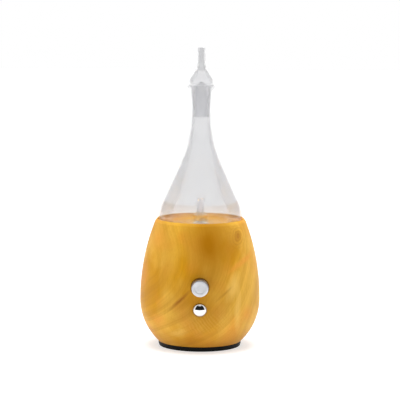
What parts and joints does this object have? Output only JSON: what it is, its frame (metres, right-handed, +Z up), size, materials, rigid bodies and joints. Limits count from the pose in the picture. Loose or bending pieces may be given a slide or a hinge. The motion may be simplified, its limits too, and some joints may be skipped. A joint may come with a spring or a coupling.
{
  "type": "essential oil diffuser",
  "caption": "Waterless essential oil diffuser: turned wooden base hiding an air pump and lamp, under a blown glass flask with a spray jet and a lift-out glass stopper.",
  "frame": {"origin": "on the axis of the turning, in the plane the foot ring stands on", "axes": "+Z up along the axis of the wood and the glass; the knob and the light button face -Y and the power inlet faces +Y; +X is to the right for someone facing the controls"},
  "size_m": [0.105, 0.1118, 0.2612],
  "materials": {
    "wood": "satin lacquer",
    "black_plastic": "satin black",
    "foot_rubber": "matt black",
    "screw_steel": "zinc plated",
    "clear_acrylic": "clear, polished",
    "white_silicone": "translucent white",
    "white_board": "white solder mask",
    "lamp_resin": "moulded resin",
    "grey_silicone": "matt grey",
    "foam": "open-cell foam",
    "motor_steel": "zinc plated",
    "white_nylon": "natural nylon",
    "brass_parts": "plain",
    "ferrite": "sintered",
    "pump_plastic": "moulded black",
    "black_rubber": "matt black",
    "green_board": "green solder mask",
    "chip_black": "moulded",
    "can_aluminium": "sleeved can",
    "lead_red": "vinyl insulated",
    "lead_white": "vinyl insulated",
    "lead_black": "vinyl insulated",
    "flask_glass": "clear, polished",
    "stopper_glass": "clear, polished",
    "knob_metal": "satin",
    "button_chrome": "mirror",
    "copper_wire": "enamelled copper"
  },
  "bodies": {
    "base": {"wood_housing": "wood", "base_plate": "black_plastic", "foot_ring": "foot_rubber", "base_screws": "screw_steel", "light_guide": "clear_acrylic", "stem_seal": "white_silicone", "lamp_board": "white_board", "led_lamps": "lamp_resin", "socket_bracket": "black_plastic", "bracket_screws": "screw_steel", "pump_boot": "grey_silicone", "pump_jacket": "foam", "motor_can": "motor_steel", "motor_end_cap": "white_nylon", "motor_terminals": "brass_parts", "motor_brushes": "brass_parts", "motor_bushes": "brass_parts", "motor_magnets": "ferrite", "pump_case": "pump_plastic", "wobble_plate": "white_nylon", "pump_membrane": "black_rubber", "valve_plate": "pump_plastic", "valve_flaps": "black_rubber", "pump_cover": "pump_plastic", "pump_screws": "screw_steel", "air_hose": "white_silicone", "pot_body": "motor_steel", "pot_nut": "screw_steel", "pot_terminals": "brass_parts", "light_switch": "black_plastic", "control_board": "green_board", "board_spacers": "brass_parts", "board_screws": "screw_steel", "timer_chip": "chip_black", "capacitors": "can_aluminium", "board_headers": "white_nylon", "inlet_socket": "black_plastic", "inlet_pin": "brass_parts", "inlet_nut": "screw_steel", "motor_leads": "lead_red", "lamp_leads": "lead_white", "power_leads": "lead_black"},
    "flask": {"glass_flask": "flask_glass", "oil_sleeve": "flask_glass", "air_jet": "flask_glass"},
    "stopper": {"glass_stopper": "stopper_glass"},
    "knob": {"knob_cap": "knob_metal", "knob_core": "white_nylon", "pot_shaft": "screw_steel"},
    "button": {"light_button": "button_chrome", "switch_plunger": "black_plastic"},
    "pump_rotor": {"motor_shaft": "screw_steel", "armature_core": "motor_steel", "armature_windings": "copper_wire", "commutator": "brass_parts", "eccentric_hub": "black_plastic", "crank_pin": "screw_steel"}
  },
  "joints": [
    {"name": "flask_lift", "type": "slide", "parent": "base", "child": "flask", "axis": [0, 0, 1], "range_m": [0, 0.045]},
    {"name": "stopper_lift", "type": "slide", "parent": "flask", "child": "stopper", "axis": [0, 0, 1], "range_m": [0, 0.04]},
    {"name": "knob_turn", "type": "hinge", "parent": "base", "child": "knob", "pos_m": [0, -0.0545, 0.0591], "axis": [0, 1, 0], "range_deg": [0, 300]},
    {"name": "button_press", "type": "slide", "parent": "base", "child": "button", "axis": [0, 1, 0], "range_m": [0, 0.0009], "stiffness_N_per_m": 1500, "springref_m": -0.0005},
    {"name": "pump_spin", "type": "hinge", "parent": "base", "child": "pump_rotor", "pos_m": [0, 0.006, 0.024], "axis": [0, 0, 1], "continuous": true}
  ]
}
